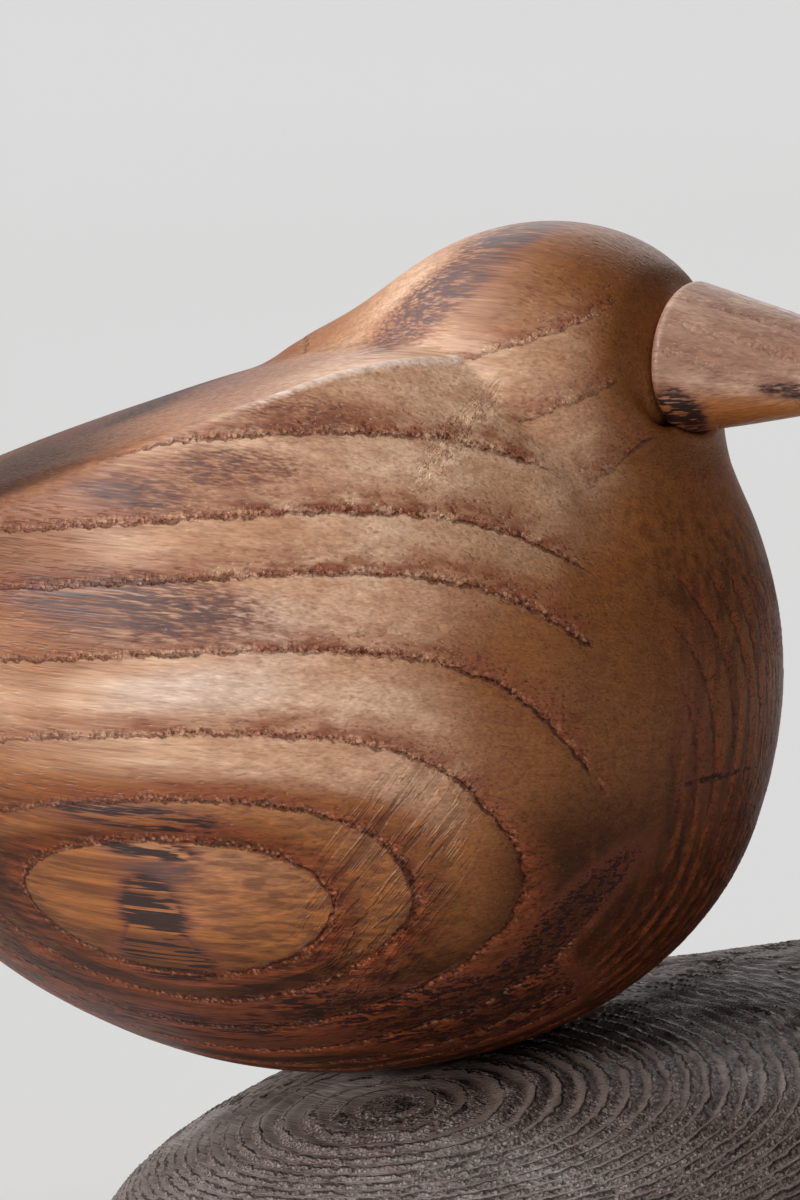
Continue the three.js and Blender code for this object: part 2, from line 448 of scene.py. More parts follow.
class WoodPattern:
    """The patterns of one brushed wooden surface, each a node's output that runs from 0 to 1."""

    def __init__(self, sh: Shader, wood: "BrushedWood") -> None:
        """Reads what the mesh has noted and lays out every pattern.

        Args:
            sh: the material's node tree.
            wood: the finish that gives the sizes.
        """
        self.noted = {note: sh.add(Kind.NOTED, attribute_name=note.value) for note in Note}
        self.lay_ring_lines(sh, wood)
        self.lay_fibres(sh, wood)
        self.lay_strokes(sh)

    def lay_ring_lines(self, sh: Shader, wood: "BrushedWood") -> None:
        """The ring lines, and past each one a band of torn chips and pits.

        Args:
            sh: the material's node tree.
            wood: the finish that gives the sizes.
        """
        add = sh.add
        ring, gap, crisp = self.noted[Note.RING], self.noted[Note.GAP], self.noted[Note.CRISP]
        # Millimetres past the nearest line, measured on the surface, with wavers 1.3 mm long.
        off = add(Kind.SHARE, add(Kind.LESS, ring, add(Kind.NEAREST, ring)), gap)
        off = add(Kind.PLUS, off, add(Kind.RANGE, sh.spots(1.3, 3), 0.2, 0.8, -0.28, 0.28))
        core = add(Kind.RANGE, add(Kind.SIZE, off), wood.line_width * 0.2, wood.line_width, 1, 0)
        breaks = sh.spots(3.5, 2)
        whole = add(Kind.RANGE, breaks, 0.38, 0.56, 0.35, 1)
        self.off, self.core = off, add(Kind.TIMES, add(Kind.TIMES, core, crisp), whole)
        # Chips and pits are cells of a random height, rounded by the distance from their middles.
        started = add(Kind.RANGE, off, -0.25, 0.05)
        porous = add(Kind.TIMES, add(Kind.RANGE, off, wood.chip_reach * 0.15, wood.chip_reach, 1, 0), started)
        patchy = add(Kind.RANGE, breaks, 0.62, 0.4, 0.5, 1)
        patchy = add(Kind.TIMES, add(Kind.LESS, 1, self.noted[Note.BREAST]), patchy)
        porous = add(Kind.TIMES, add(Kind.TIMES, porous, crisp), patchy)
        from_middle = add(Kind.CELLS, sh.place, 1 / (wood.chip_size * MM))
        bit = from_middle.node.outputs["Color"]
        rounded = add(Kind.TIMES, add(Kind.RANGE, from_middle, 0.62, 0.4), porous)
        thick = add(Kind.TIMES, porous, 0.15)
        self.lifted = add(Kind.TIMES, add(Kind.RANGE, add(Kind.PLUS, bit, thick), 0.56, 0.62), rounded)
        self.sunk = add(Kind.TIMES, add(Kind.RANGE, add(Kind.LESS, bit, thick), 0.46, 0.4), rounded)
        # Redder wood just past each line.
        fades = add(Kind.TIMES, add(Kind.RANGE, off, -0.3, 0.2), crisp)
        self.blush = add(Kind.TIMES, add(Kind.RANGE, off, 0.2, 4.5, 1, 0), fades)

    def lay_fibres(self, sh: Shader, wood: "BrushedWood") -> None:
        """Fibres 0.24 mm wide, pores, brown rows 0.85 mm wide and the broad figure.

        Args:
            sh: the material's node tree.
            wood: the finish that gives the sizes.
        """
        add = sh.add
        self.figure = sh.grain(55, 6)
        self.fibre = sh.grain(7, 0.24, 3)
        self.drawn = sh.grain(36, 1.1, 4, lean=84)
        self.strands = sh.grain(26, 1.3, 2)
        self.rows = sh.grain(45, 0.85, 1)
        near = add(Kind.TIMES, add(Kind.RANGE, self.off, 0.3, 4.0, 1, 0), add(Kind.RANGE, self.off, -0.3, 0.1))
        open_wood = add(Kind.PLUS, 0.55, add(Kind.TIMES, near, add(Kind.TIMES, self.noted[Note.CRISP], 0.9)))
        across = 1 / (wood.pore_across * MM)
        dashes = add(Kind.MAPPING, sh.place, None, (1 / (wood.pore_along * MM), across, across))
        pores = add(Kind.RANGE, add(Kind.CELLS, dashes, 1), 0.12, 0.3, 1, 0)
        pores = add(Kind.TIMES, pores, add(Kind.RANGE, sh.spots(6, 1), 0.3, 0.6, 0.25, 1))
        self.pores = add(Kind.TIMES, pores, open_wood)
        self.specks = add(Kind.TIMES, add(Kind.RANGE, sh.grain(2.6, 0.36, 1), 0.44, 0.3), open_wood)

    def lay_strokes(self, sh: Shader) -> None:
        """Torn strokes of the rasp, 0.75 mm wide, lying slantwise across the grain.

        Args:
            sh: the material's node tree.
        """
        strokes, torn = sh.grain(18, 0.75, 2, lean=50), self.noted[Note.TEAR]
        self.ridge = sh.add(Kind.TIMES, sh.add(Kind.RANGE, strokes, 0.56, 0.62), torn)
        self.valley = sh.add(Kind.TIMES, sh.add(Kind.RANGE, strokes, 0.45, 0.38), torn)


@dataclass(frozen=True)
class BrushedWood:
    """Softwood with its soft growth brushed out, then scorched and oiled.

    Each year starts with a sharp sunken line, then a porous band of small torn chips that fades
    into smooth wood. Pores show as dots on end grain and as dashes along the sides. The flame
    leaves streaks that are red-brown at their edges and purple-black at their hearts; a weak
    mark's grey heart is char with a painted sheen. The brown colours lay toasted wood and painted
    shade alike, and the bare colour lays painted highlights.

    Widths, lengths, depths and heights are in mm, and a share is how strongly a colour is laid on.
    """

    name: str
    bare: str
    pale: str
    mid: str
    rust: str
    toast: str
    deep: str
    line: str
    chip: str
    pore: str
    singe: str
    scorch: str
    haze: str
    roughness: float
    ior: float = 1.5
    pore_across: float = 0.65
    pore_along: float = 4.5
    line_width: float = 0.3
    line_depth: float = 0.22
    chip_size: float = 0.5
    chip_reach: float = 1.3
    chip_height: float = 0.11
    pit_depth: float = 0.08
    pore_depth: float = 0.07
    speck_depth: float = 0.05
    fibre_height: float = 0.045
    strand_height: float = 0.05
    ridge_height: float = 0.22
    valley_depth: float = 0.14
    blush: float = 0.75
    pore_share: float = 0.4
    speck_share: float = 0.4
    line_share: float = 0.65
    pit_share: float = 0.8
    chip_share: float = 0.16
    strand_share: float = 0.5

    def material(self) -> bpy.types.Material:
        """Builds the finish.

        Returns:
            The material.
        """
        sh = Shader(self.name)
        pattern = WoodPattern(sh, self)
        add, toast_shade_sheen = sh.add, pattern.noted[Note.TOAST]
        dark = add(Kind.TIMES, pattern.sunk, self.pit_share)
        dark = add(Kind.MOST, add(Kind.TIMES, pattern.core, self.line_share), dark)
        # The valleys between the rasp's strokes are darkened: painted shade.
        dark = add(Kind.MOST, dark, add(Kind.TIMES, pattern.valley, 0.35))
        colour = self.plain_colour(sh, pattern)
        colour = self.charred(sh, pattern, colour)
        colour = self.torn(sh, pattern, colour, dark)
        rough = add(Kind.RANGE, pattern.fibre, 0.3, 0.7, self.roughness - 0.06, self.roughness + 0.1)
        rough = add(Kind.PLUS, rough, add(Kind.TIMES, dark, 0.2))
        # Where the note lays toast and painted shade, and in the depths of the lines, the wood holds less oil,
        # so it shines less.
        gloss = add(Kind.RANGE, toast_shade_sheen, 0.3, 1, 0.5, 0.14)
        gloss = add(Kind.LEAST, gloss, add(Kind.RANGE, dark, 0, 1, 0.5, 0.2))
        return sh.dressed(colour, rough, self.bump(sh, pattern), gloss, None, self.ior)

    def layered(self, sh: Shader, colour: object, layers: tuple) -> bpy.types.NodeSocket:
        """Lays colours over one another.

        Args:
            sh: the material's node tree.
            colour: the colour underneath.
            layers: for each layer whether it coats or tints, where it shows and its colour.

        Returns:
            The colour of them all.
        """
        for kind, where, over in layers:
            over = linear(over) if isinstance(over, str) else (*over, 1)
            colour = sh.add(kind, where, colour, over)
        return colour

    def plain_colour(self, sh: Shader, pattern: WoodPattern) -> bpy.types.NodeSocket:
        """The colour of the wood between the scorch marks, with painted shade and highlights, without chips and
        ring lines.

        Args:
            sh: the material's node tree.
            pattern: the patterns to follow.

        Returns:
            The colour.
        """
        add, breast = sh.add, pattern.noted[Note.BREAST]
        toast_shade_sheen, belly = pattern.noted[Note.TOAST], add(Kind.TIMES, pattern.noted[Note.BELLY], 0.55)
        blush = add(Kind.TIMES, pattern.blush, add(Kind.RANGE, pattern.strands, 0.3, 0.65, 0.3, 1.3))
        streaked = add(Kind.TIMES, add(Kind.RANGE, pattern.drawn, 0.46, 0.62), breast)
        golden = add(Kind.TIMES, add(Kind.RANGE, pattern.drawn, 0.46, 0.34), breast)
        speckle = add(Kind.TIMES, self.speck_share, add(Kind.RANGE, toast_shade_sheen, 0.1, 0.6, 0.9, 1.7))
        figure = add(Kind.RANGE, pattern.figure, 0.3, 0.7)
        return self.layered(sh, add(Kind.COAT, figure, linear(self.pale), linear(self.mid)), (
            (Kind.COAT, add(Kind.RANGE, pattern.strands, 0.45, 0.66, 0, self.strand_share), self.mid),
            # Painted highlights in the bare colour where the note is below 0; the brown colours lay toasted
            # wood and painted shade alike.
            (Kind.COAT, add(Kind.RANGE, toast_shade_sheen, 0, -0.5, 0, 0.8), self.bare),
            (Kind.COAT, add(Kind.RANGE, toast_shade_sheen, 0, 0.55, 0, 0.95), self.toast),
            (Kind.COAT, add(Kind.RANGE, toast_shade_sheen, 0.45, 1.1, 0, 0.95), self.deep),
            (Kind.COAT, add(Kind.TIMES, blush, self.blush), self.rust),
            # Dark and light fibres, the light ones partly painted glints, then streaks on the breast, rows, the
            # belly's rows and specks.
            (Kind.TINT, add(Kind.RANGE, pattern.fibre, 0.5, 0.68, 0, 0.6), (0.7, 0.6, 0.55)),
            (Kind.TINT, add(Kind.RANGE, pattern.fibre, 0.48, 0.3, 0, 0.75), (1.32, 1.32, 1.32)),
            (Kind.TINT, add(Kind.TIMES, streaked, 0.8), (0.5, 0.42, 0.38)),
            (Kind.TINT, add(Kind.TIMES, golden, 0.6), (1.3, 1.2, 1.05)),
            (Kind.TINT, add(Kind.RANGE, pattern.rows, 0.52, 0.62, 0, 0.55), (0.8, 0.72, 0.68)),
            (Kind.TINT, add(Kind.RANGE, pattern.rows, 0.46, 0.36, 0, 0.55), (1.14, 1.14, 1.16)),
            (Kind.TINT, add(Kind.TIMES, add(Kind.RANGE, pattern.rows, 0.51, 0.6), belly), (0.52, 0.4, 0.34)),
            (Kind.TINT, add(Kind.TIMES, add(Kind.RANGE, pattern.rows, 0.47, 0.38), belly), (1.45, 1.38, 1.15)),
            (Kind.TINT, add(Kind.TIMES, pattern.specks, speckle), (0.6, 0.45, 0.36)),
            (Kind.COAT, add(Kind.TIMES, pattern.pores, self.pore_share), self.pore),
        ))

    def charred(self, sh: Shader, pattern: WoodPattern, colour: object) -> bpy.types.NodeSocket:
        """Lays the scorch marks over a colour, in streaks 0.55 mm wide, sharper at a mark's heart; a weak
        mark's heart is grey char with a painted sheen.

        Args:
            sh: the material's node tree.
            pattern: the patterns to follow.
            colour: the colour of the wood.

        Returns:
            The colour with the marks.
        """
        add, scorched = sh.add, pattern.noted[Note.SCORCH]
        streak = sh.grain(26, 0.55, 3)
        heart = add(Kind.RANGE, scorched, 0.75, 1.05)
        soft = add(Kind.TIMES, add(Kind.RANGE, streak, 0.3, 0.7, 0.72, 1.2), add(Kind.LESS, 1, heart))
        hard = add(Kind.TIMES, add(Kind.RANGE, streak, 0.44, 0.56, 0.12, 1.3), heart)
        char = add(Kind.TIMES, scorched, add(Kind.PLUS, soft, hard))
        char = add(Kind.TIMES, char, add(Kind.RANGE, pattern.fibre, 0.35, 0.65, 0.7, 1.25))
        colour = add(Kind.COAT, add(Kind.RANGE, char, 0.02, 0.8, 0, 0.85), colour, linear(self.singe))
        # Weak marks get a grey heart: char with a painted sheen.
        black = add(Kind.COAT, pattern.noted[Note.SMOKE], linear(self.scorch), linear(self.haze))
        return add(Kind.COAT, add(Kind.RANGE, char, 0.4, 1, 0, 0.9), colour, black)

    def torn(self, sh: Shader, pattern: WoodPattern, colour: object, dark: object) -> bpy.types.NodeSocket:
        """Lays pale chips and painted highlights on the rasp's ridges over a colour, then the dark lines, pits
        and the valleys' painted shade.

        Args:
            sh: the material's node tree.
            pattern: the patterns to follow.
            colour: the colour of the wood.
            dark: where lines, pits and valleys show.

        Returns:
            The finished colour.
        """
        add = sh.add
        browner = add(Kind.RANGE, pattern.noted[Note.TOAST], 0.15, 0.6)
        return self.layered(sh, colour, (
            (Kind.TINT, add(Kind.TIMES, pattern.lifted, 0.9), (1.5, 1.45, 1.36)),
            (Kind.COAT, add(Kind.TIMES, pattern.lifted, self.chip_share), self.chip),
            # The rasp's ridges are lightened: a painted highlight.
            (Kind.TINT, add(Kind.TIMES, pattern.ridge, 0.8), (1.32, 1.28, 1.22)),
            (Kind.COAT, dark, self.line),
            (Kind.TINT, add(Kind.TIMES, dark, browner), (0.42, 0.32, 0.28)),
        ))

    def bump(self, sh: Shader, pattern: WoodPattern) -> bpy.types.NodeSocket:
        """Raises and sinks the patterns by their heights in mm.

        Args:
            sh: the material's node tree.
            pattern: the patterns to follow.

        Returns:
            The bumped normal.
        """
        height = sh.add(Kind.TIMES, pattern.fibre, self.fibre_height)
        for amount, part in (
            (self.strand_height, pattern.strands),
            (-self.line_depth, pattern.core),
            (self.chip_height, pattern.lifted),
            (-self.pit_depth, pattern.sunk),
            (-self.pore_depth, pattern.pores),
            (-self.speck_depth, pattern.specks),
            (self.ridge_height, pattern.ridge),
            (-self.valley_depth, pattern.valley),
        ):
            height = sh.add(Kind.PLUS, height, sh.add(Kind.TIMES, part, amount))
        return sh.add(Kind.BUMP, height, MM, 1)


@dataclass(frozen=True)
class PlainFinish:
    """A finish with one colour that drifts a little, fine lines along or around it, and a sheen.

    For drawn brass rod and for a bare beech dowel. The lines' sizes are in mm.
    """

    name: str
    colour: str
    drift: str
    metallic: float
    roughness: float
    line_across: float
    line_along: float
    relief: float
    line_depth: float = 0.05

    def material(self) -> bpy.types.Material:
        """Builds the finish.

        Returns:
            The material.
        """
        sh = Shader(self.name)
        streak = sh.grain(self.line_along, self.line_across, 3)
        cloud = sh.grain(9, 6, 2)
        mixed = sh.add(Kind.RANGE, sh.add(Kind.TIMES, streak, cloud), 0.15, 0.4)
        colour = sh.add(Kind.COAT, mixed, linear(self.colour), linear(self.drift))
        bump = sh.add(Kind.BUMP, streak, self.line_depth * MM, self.relief)
        rough = sh.add(Kind.RANGE, cloud, 0.3, 0.7, self.roughness - 0.05, self.roughness + 0.07)
        return sh.dressed(colour, rough, bump, None, self.metallic)


# --- Growth rings ------------------------------------------------------------------------------------


@dataclass(frozen=True)
class GrowthRings:
    """The tree's year surfaces through a block of wood, as a depth below its outermost one.

    The depth is a slope plus a gentle bend in each direction, about a middle point.
    """

    middle: tuple[float, float, float]
    slope: tuple[float, float, float]
    bend: tuple[float, float, float, float, float, float]
    first: float
    widths: tuple[float, ...]
    growth: float = 1.0

    def depth(self, points: Array) -> Array:
        """Depth in mm below the outermost ring line.

        Args:
            points: places in mm, one per row.

        Returns:
            One number for each place.
        """
        x, y, z = (points - np.array(self.middle)).T
        xx, yy, zz, xy, xz, yz = self.bend
        bent = xx * x * x + yy * y * y + zz * z * z + xy * x * y + xz * x * z + yz * y * z
        return points @ np.array(self.slope) - np.dot(self.middle, self.slope) + bent - self.first

    def year(self, points: Array) -> Array:
        """The number of ring lines passed, with parts of a year, at each place.

        Args:
            points: places in mm, one per row.

        Returns:
            One number for each place.
        """
        ends = [0.0]
        width = self.widths[0]
        for i in range(140):
            width = self.widths[i] if i < len(self.widths) else width * self.growth
            ends.append(ends[-1] + width)
        depth = self.depth(points)
        year = np.interp(depth, ends, np.arange(len(ends)))
        return np.where(depth < 0, depth / self.widths[0], year)

    def gap(self, points: Array, normals: Array) -> Array:
        """How many years one mm of surface crosses.

        Args:
            points: places in mm, one per row.
            normals: the outward direction at each place.

        Returns:
            One number for each place.
        """
        slope = gradient(self.year, points, 0.2)
        along = slope - normals * np.sum(slope * normals, axis=1)[:, None]
        return np.maximum(np.linalg.norm(along, axis=1), 0.02)

    def line_distance(self, points: Array, normals: Array) -> tuple[Array, Array, Array]:
        """The year, the gap and the signed distance in mm to the nearest ring line."""
        year, gap = self.year(points), self.gap(points, normals)
        return year, gap, (year - np.round(year)) / gap


@dataclass(frozen=True)
class Mark:
    """A scorch mark: a patch drawn out along the grain around a place on the skin, in mm."""

    x: float
    y: float
    z: float
    along: float
    across: float
    strength: float
    lean: float = 0

    def darken(self, points: Array) -> Array:
        """How strongly the mark shows at each place.

        Args:
            points: places in mm in the frame that the mark is placed in.

        Returns:
            One number for each place.
        """
        c, s = math.cos(math.radians(self.lean)), math.sin(math.radians(self.lean))
        dx, dz = points[:, 0] - self.x, points[:, 2] - self.z
        u, w = dx * c + dz * s, dz * c - dx * s
        v = (points[:, 1] - self.y) / 12
        reach = np.sqrt((u / self.along) ** 2 + (w / self.across) ** 2 + v * v)
        return self.strength * (1 - smooth(reach, 0.35, 1.25))


# --- Bird ----------------------------------------------------------------------------------------------


@dataclass
class CarvedBody:
    """The bird's one carved block: breast, head, wings and tail."""

    breast: Egg = Egg(7.9, 5.6, 39.3, 25.3, 41.1, -6.3)
    head: Egg = Egg(20.5, 42.1, 18.4, 16, 13.8)
    wings: Egg = Egg(-20.3, 10.1, 64.7, 36.9, 53.7, -13.6)
    tail: Egg = Egg(-70.1, -1.4, 44, 14.5, 11, 3)
    neck_blend: float = 11
    tail_blend: float = 25
    wing_crease: float = 1.8
    shoulder_round: float = 2.5
    back_height: float = 42.4
    back_slope: float = 0.272
    back_bend: float = 0.00143
    back_crown: float = 0.0055
    back_dip: float = 0.016
    seat_depth: float = 2.3
    seat_radius: float = 8.3
    cove_radius: float = 1.7
    joint_gap: float = 0.3
    flat_edge: float = 0.4
    pin_bore: float = 3.3
    pin_bore_depth: float = 26.3
    around: int = 460
    along: int = 420
    breast_fan: float = 0.42
    tail_fan: float = 0.12
    spine_front: tuple[float, float, float] = (-6.1, 0, 5.6)
    spine_back: tuple[float, float, float] = (-100.9, 0, -5.4)
    groove_depth: float = 0.12
    groove_width: float = 0.6
    lip_height: float = 0.3
    tear_depth: float = 0.25
    smoke_and_sheen_below: float = 0.85
    reach: float = 90
    rings: GrowthRings = GrowthRings(
        (-20, 0, -20),
        (0.0041, 1.0, 0.3192),
        (-0.0038, 0, -0.0025, 0.0002, -0.0014, -0.005),
        -30.11,
        (0.89, 1.85, 2.83, 2.97, 2.6, 3.7, 3.2, 2.6, 2.4, 2.6),
    )
    head_rings: GrowthRings = GrowthRings(
        (20, 0, 35),
        (-0.0348, -0.0954, 0.106),
        (0.00165, 0, 0.00175, 0, 0.00053, 0),
        2.559,
        (1.0,),
    )
    marks: tuple[Mark, ...] = (
        Mark(-14, -30, -21, 5.5, 5.5, 1.05),
        Mark(-8, -32, -18, 9, 5, 0.3),
        Mark(-14, -27, -26.5, 8, 4, 1.3),
        Mark(-12, -33, -14.5, 8, 3.5, 0.5),
        Mark(-13, -36, 15, 22, 5, 0.84),
        Mark(-16, -34, 26.5, 10, 4.5, 0.38),
        Mark(-8, -33, 27.5, 14, 2.6, 0.36),
        Mark(-12, -14, 37, 14, 3, 0.5),
        Mark(-33, -14, 31, 12, 3, 0.45),
        Mark(-2, -32, 31, 12, 2.5, 0.6),
        Mark(5, -28, 36.5, 11, 3, 0.5),
        Mark(13, -13, 48.5, 14, 4, 0.82, 40),
        Mark(18, -5, 55, 8, 2.0, 0.75, 15),
        Mark(44, -10, 3, 1.8, 24, 0.42),
        Mark(45, -6, -3, 3, 0.45, 1.2, 12),
        Mark(31, -14, -19, 15, 2.4, 1.1, 48),
        Mark(18, -14, -31, 17, 6, 1.3, 16),
        Mark(-20, -19, -36, 26, 4, 0.85),
        Mark(4, -21, -31, 12, 3, 1.1, 10),
        Mark(-13, -34, -9, 15, 2.0, 1.05),
        Mark(-12, -34, -12.5, 8, 1.3, 0.9),
        Mark(-60, -22, 16, 22, 4, 0.7, 12),
        Mark(-85, -10, -2, 20, 3, 0.8),
        Mark(-30, 34, -12, 24, 6, 0.8),
        Mark(-8, 36, 14, 18, 3, 0.7),
        Mark(-40, 31, 20, 16, 4, 0.8, 10),
        Mark(24, 22, -8, 14, 4, 0.7, -30),
        Mark(14, 14, 46, 9, 3, 0.8, -20),
        Mark(-22, 20, -36, 24, 4, 0.9),
        # A weak mark along the top of the back; its grey heart is a painted sheen.
        Mark(-36, 0, 30, 20, 7, 0.55, 18),
    )

    def __post_init__(self) -> None:
        """Places the bird from its beak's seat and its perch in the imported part."""
        low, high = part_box("beak")
        seat_x = self.head.x + self.head.length - self.seat_depth
        back = np.array([low.x, (low.y + high.y) / 2, (low.z + high.z) / 2]) / MM
        self.datum = back - np.array([seat_x + self.joint_gap, 0, self.head.z])
        self.seat = np.array([seat_x, 0, self.head.z])
        turn = next(j for j in frame["joints"] if j["name"] == "bird_turn")
        up = np.array(turn["axis"]) / np.linalg.norm(turn["axis"])
        perch = np.array(turn["pos_m"]) / MM - self.datum
        self.perch = Axis(perch + up * self.joint_gap / 2, up)

    def forms(self, points: Array) -> tuple[Array, Array, Array]:
        """The three forms that meet in the skin: the front, the flanks and the top of the back.

        Args:
            points: places in mm in the bird's frame, one per row.

        Returns:
            The distance to each form, negative inside.
        """
        front = join(self.breast(points), self.head(points), self.neck_blend)
        flank = join(self.wings(points), self.tail(points), self.tail_blend)
        x, y, z = points.T
        top = self.back_height + self.back_slope * x - self.back_bend * x * x - self.back_crown * y * y
        return front, flank, z - top + self.back_dip * np.maximum(x - 5, 0) ** 2

    def skin(self, points: Array) -> Array:
        """The bird without its seat and perch.

        Args:
            points: places in mm in the bird's frame, one per row.

        Returns:
            The distance to the skin, negative inside.
        """
        front, flank, back = self.forms(points)
        shoulder = self.shoulder_round * (0.3 + 1.3 * smooth(points[:, 0], 2, -40))
        crease = self.wing_crease * (0.5 + 3 * smooth(points[:, 2], 8, -20))
        return join(front, trim(flank, back, shoulder), crease)

    def form(self, points: Array) -> Array:
        """The bird with the beak's seat, the cove around it and the flat of the belly.

        Args:
            points: places in mm in the bird's frame, one per row.

        Returns:
            The distance to the surface, negative inside.
        """
        rel = points - self.seat
        radius = np.hypot(rel[:, 1], rel[:, 2])
        seat = np.maximum(radius - self.seat_radius, -rel[:, 0])
        cove = self.cove_radius * (1 - 0.9 * smooth(-rel[:, 2], 0, 6))
        ring = np.hypot(radius - self.seat_radius - cove / 2, rel[:, 0] - cove / 2)
        form = trim(self.skin(points), cove - ring, 3.0)
        form = trim(form, -seat, 0.4)
        along, _ = self.perch.split(points)
        return trim(form, -along, self.flat_edge)

    def rays(self) -> tuple[Array, Array]:
        """Starts and directions of the rays that find the skin, ring by ring from the breast.

        Returns:
            Their starts and their directions, one per row.
        """
        share = np.linspace(0, 1, self.along + 2)
        ends = 1 - self.tail_fan
        slide = np.clip((share - self.breast_fan) / (ends - self.breast_fan), 0, 1)
        lean = np.where(share < self.breast_fan, share / self.breast_fan, 1)
        lean = np.where(share > ends, 1 + (share - ends) / self.tail_fan, lean) * math.pi / 2
        front, back = np.array(self.spine_front), np.array(self.spine_back)
        angle = np.linspace(0, 2 * math.pi, self.around, endpoint=False)
        starts, ways = [front], [np.array([1.0, 0, 0])]
        for s, a in zip(slide[1:-1], lean[1:-1]):
            side = np.full(self.around, math.sin(a))
            ahead = np.full(self.around, math.cos(a))
            ways.extend(np.stack([ahead, side * np.cos(angle), side * np.sin(angle)], 1))
            starts.extend([front + (back - front) * s] * self.around)
        starts.append(back)
        ways.append(np.array([-1.0, 0, 0]))
        return np.array(starts), np.array(ways)

    def skin_points(self) -> Array:
        """Points of the skin, found by halving along each ray."""
        starts, ways = self.rays()
        return meet(self.form, starts, ways, self.reach)

    def build(self) -> bpy.types.Object:
        """Builds the block, cuts the pin's bore and carves the ring lines.

        Returns:
            The mesh object.
        """
        points = self.skin_points()
        piece = new_mesh("carved_bird", (points + self.datum) * MM, tube_faces(self.along, self.around))
        axis = Axis(self.perch.start + self.datum, self.perch.along)
        profile = [(-8, 0), (-8, self.pin_bore), (self.pin_bore_depth, self.pin_bore), (self.pin_bore_depth, 0)]
        cut(piece, turned("pin_bore", profile, axis, 48))
        self.carve(piece)
        return piece

    def carve(self, piece: bpy.types.Object) -> None:
        """Sinks the ring lines into the skin and notes what the finish reads.

        Args:
            piece: the block with its bore.
        """
        points = vertices_of(piece) / MM - self.datum
        normals = normals_of(self.form, points)
        year, gap, off = self.years(points, normals)
        crisp = self.crispness(points, year)
        tear = self.tearing(points)
        waver = (mottle(points, 1.6, 3) - 0.5) * 0.7
        line = np.exp(-(((off - 0.2 + waver) / self.groove_width) ** 2))
        rough = 0.5 + mottle(points, 4, 5)
        along, away = self.perch.split(points)
        _, beak_away = Axis(self.seat, np.array([1.0, 0, 0])).split(points)
        seated = (points[:, 0] > self.seat[0] - 6) & (beak_away < self.seat_radius + 3)
        plain = np.where((away < 9) & (along < 30) | seated, 0.0, 1.0)
        swell = (mottle(points, (18, 5, 5), 7) - 0.5) * 0.16
        move = -line * rough * self.groove_depth * crisp + swell
        move -= tear * mottle(self.slanted(points), (16, 1.3, 1.3), 9) * self.tear_depth
        front, flank, back = self.forms(points)
        apart = np.maximum(flank, back) - front
        lip = np.exp(-(((back - flank) / 0.5) ** 2)) * smooth(points[:, 0], -8, 2) * smooth(apart, 0.4, -0.2)
        move += self.lip_height * lip
        edge = np.exp(-(((apart + 0.8) / 0.8) ** 2)) * smooth(points[:, 2], -12, 4)
        move += self.lip_height * edge * smooth(back - flank, 0, -2)
        set_vertices(piece, (points + normals * (move * plain)[:, None] + self.datum) * MM)
        down_breast = smooth(np.abs(points[:, 1]), 16, 9) * smooth(apart, 0, 1) * smooth(points[:, 2], 34, 20)
        # Marks weaker than the threshold get a grey heart: char with a painted sheen.
        weak = 2 * sum(m.darken(points) for m in self.marks if m.strength < self.smoke_and_sheen_below)
        strong = 3 * sum(m.darken(points) for m in self.marks if m.strength >= self.smoke_and_sheen_below)
        take_notes(piece, {
            Note.RING: year,
            Note.GAP: gap,
            Note.CRISP: crisp * plain,
            Note.TEAR: tear * plain,
            Note.BREAST: down_breast,
            Note.BELLY: smooth(points[:, 2], -2, -16) * smooth(points[:, 0], 26, 8),
            Note.SCORCH: np.clip(sum(m.darken(points) for m in self.marks), 0, 1.3),
            Note.SMOKE: np.clip(weak, 0, 1) * (1 - np.clip(strong, 0, 1)),
            # The shoulder's raised edge is laid paler through a negative value of the note: a painted
            # highlight.
            Note.TOAST: self.toasting_with_painted_light(points, year) - 0.7 * lip,
        })

    def slanted(self, points: Array) -> Array:
        """Places turned so that X runs along the rasp's strokes, up towards the breast.

        Args:
            points: places in mm in the bird's frame, one per row.

        Returns:
            The turned places.
        """
        c, s = math.cos(math.radians(50)), math.sin(math.radians(50))
        x, y, z = points.T
        return np.stack([x * c + z * s, y, z * c - x * s], 1)

    def years(self, points: Array, normals: Array) -> tuple[Array, Array, Array]:
        """The ring lines of the wings and breast, and those of the head where it stands alone.

        Args:
            points: places in mm in the bird's frame, one per row.
            normals: the outward direction at each place.

        Returns:
            The year, the gap and the signed distance in mm to the nearest ring line.
        """
        front, flank, back = self.forms(points)
        ahead = front < np.maximum(flank, back)
        year, gap, _ = self.rings.line_distance(points, normals)
        finer = np.where(ahead, 2.0, 1.0)
        year, gap = year * finer, gap * finer
        head_year, head_gap, _ = self.head_rings.line_distance(points, normals)
        head = ahead & (points[:, 2] > 22)
        year, gap = np.where(head, head_year, year), np.where(head, head_gap, gap)
        return year, gap, (year - np.round(year)) / gap

